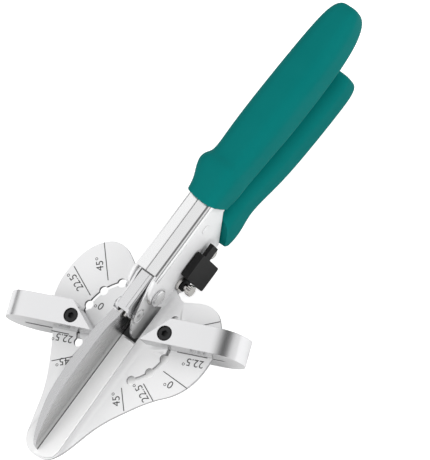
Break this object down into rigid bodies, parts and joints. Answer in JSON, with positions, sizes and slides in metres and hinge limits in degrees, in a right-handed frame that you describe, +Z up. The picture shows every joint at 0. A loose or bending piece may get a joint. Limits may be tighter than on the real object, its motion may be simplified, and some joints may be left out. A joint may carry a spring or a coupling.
{
  "type": "mitre shears",
  "caption": "Hand mitre shears: a blade lever pivots inside a folded steel body, cutting onto an anvil on a protractor table with swinging fences, locked by a side latch.",
  "frame": {"origin": "centre of the bounding box in plan, at the level of the bench that both fences and the lower grip rest on", "axes": "+X from the nose to the handles, +Z up from the bench, +Y towards the left fence"},
  "size_m": [0.24, 0.111, 0.0489],
  "materials": {
    "satin_plate": "satin plated sheet steel",
    "bright_steel": "bright plated",
    "aluminium": "satin extrusion",
    "blade_steel": "ground and polished",
    "anvil": "matte light grey",
    "teal_grip": "smooth moulded",
    "black_oxide": "black oxide",
    "black_plastic": "matte moulded",
    "nickel": "nickel plated"
  },
  "bodies": {
    "frame": {"body_frame": "satin_plate", "anvil_strip": "anvil", "anvil_rivet_1": "nickel", "anvil_rivet_2": "nickel", "anvil_rivet_3": "nickel", "upper_grip": "teal_grip", "pivot_bolt": "bright_steel", "pivot_nut": "bright_steel", "latch_spacer": "nickel", "return_spring": "nickel"},
    "lever": {"lever_frame": "bright_steel", "lower_grip": "teal_grip", "blade_holder": "bright_steel", "blade": "blade_steel", "left_blade_spacer": "nickel", "right_blade_spacer": "nickel", "blade_screw": "bright_steel", "blade_nut": "bright_steel", "pivot_bushing": "nickel", "lock_pin": "nickel"},
    "left_fence": {"left_fence": "aluminium", "left_fence_nut": "black_oxide"},
    "right_fence": {"right_fence": "aluminium", "right_fence_nut": "black_oxide"},
    "left_clamp": {"left_fence_screw": "black_oxide"},
    "right_clamp": {"right_fence_screw": "black_oxide"},
    "latch": {"latch": "black_plastic"},
    "latch_knob": {"latch_screw": "nickel"}
  },
  "joints": [
    {"name": "jaw", "type": "hinge", "parent": "frame", "child": "lever", "pos_m": [-0.03386, -0.00092, 0.02504], "axis": [-0.0021, 0.9991, 0.0417], "range_deg": [0, 35], "deforming": ["return_spring"]},
    {"name": "left_fence_swing", "type": "hinge", "parent": "frame", "child": "left_fence", "pos_m": [-0.05255, -0.00085, 0.01402], "axis": [-0.0995, -0.0417, 0.9942], "range_deg": [-67.5, 22.5]},
    {"name": "right_fence_swing", "type": "hinge", "parent": "frame", "child": "right_fence", "pos_m": [-0.05256, -0.00015, 0.01405], "axis": [-0.0995, -0.0417, 0.9942], "range_deg": [-67.5, 22.5]},
    {"name": "left_clamp_turn", "type": "hinge", "parent": "left_fence", "child": "left_clamp", "pos_m": [-0.06134, 0.02035, 0.01403], "axis": [-0.0995, -0.0417, 0.9942], "continuous": true},
    {"name": "right_clamp_turn", "type": "hinge", "parent": "right_fence", "child": "right_clamp", "pos_m": [-0.04377, -0.02135, 0.01403], "axis": [-0.0995, -0.0417, 0.9942], "continuous": true},
    {"name": "latch_swing", "type": "hinge", "parent": "frame", "child": "latch", "pos_m": [-0.02161, -0.00052, 0.01612], "axis": [0.0021, -0.9991, -0.0417], "range_deg": [0, 25]},
    {"name": "latch_knob_turn", "type": "hinge", "parent": "frame", "child": "latch_knob", "pos_m": [-0.02161, -0.00052, 0.01612], "axis": [-0.0021, 0.9991, 0.0417], "continuous": true}
  ]
}
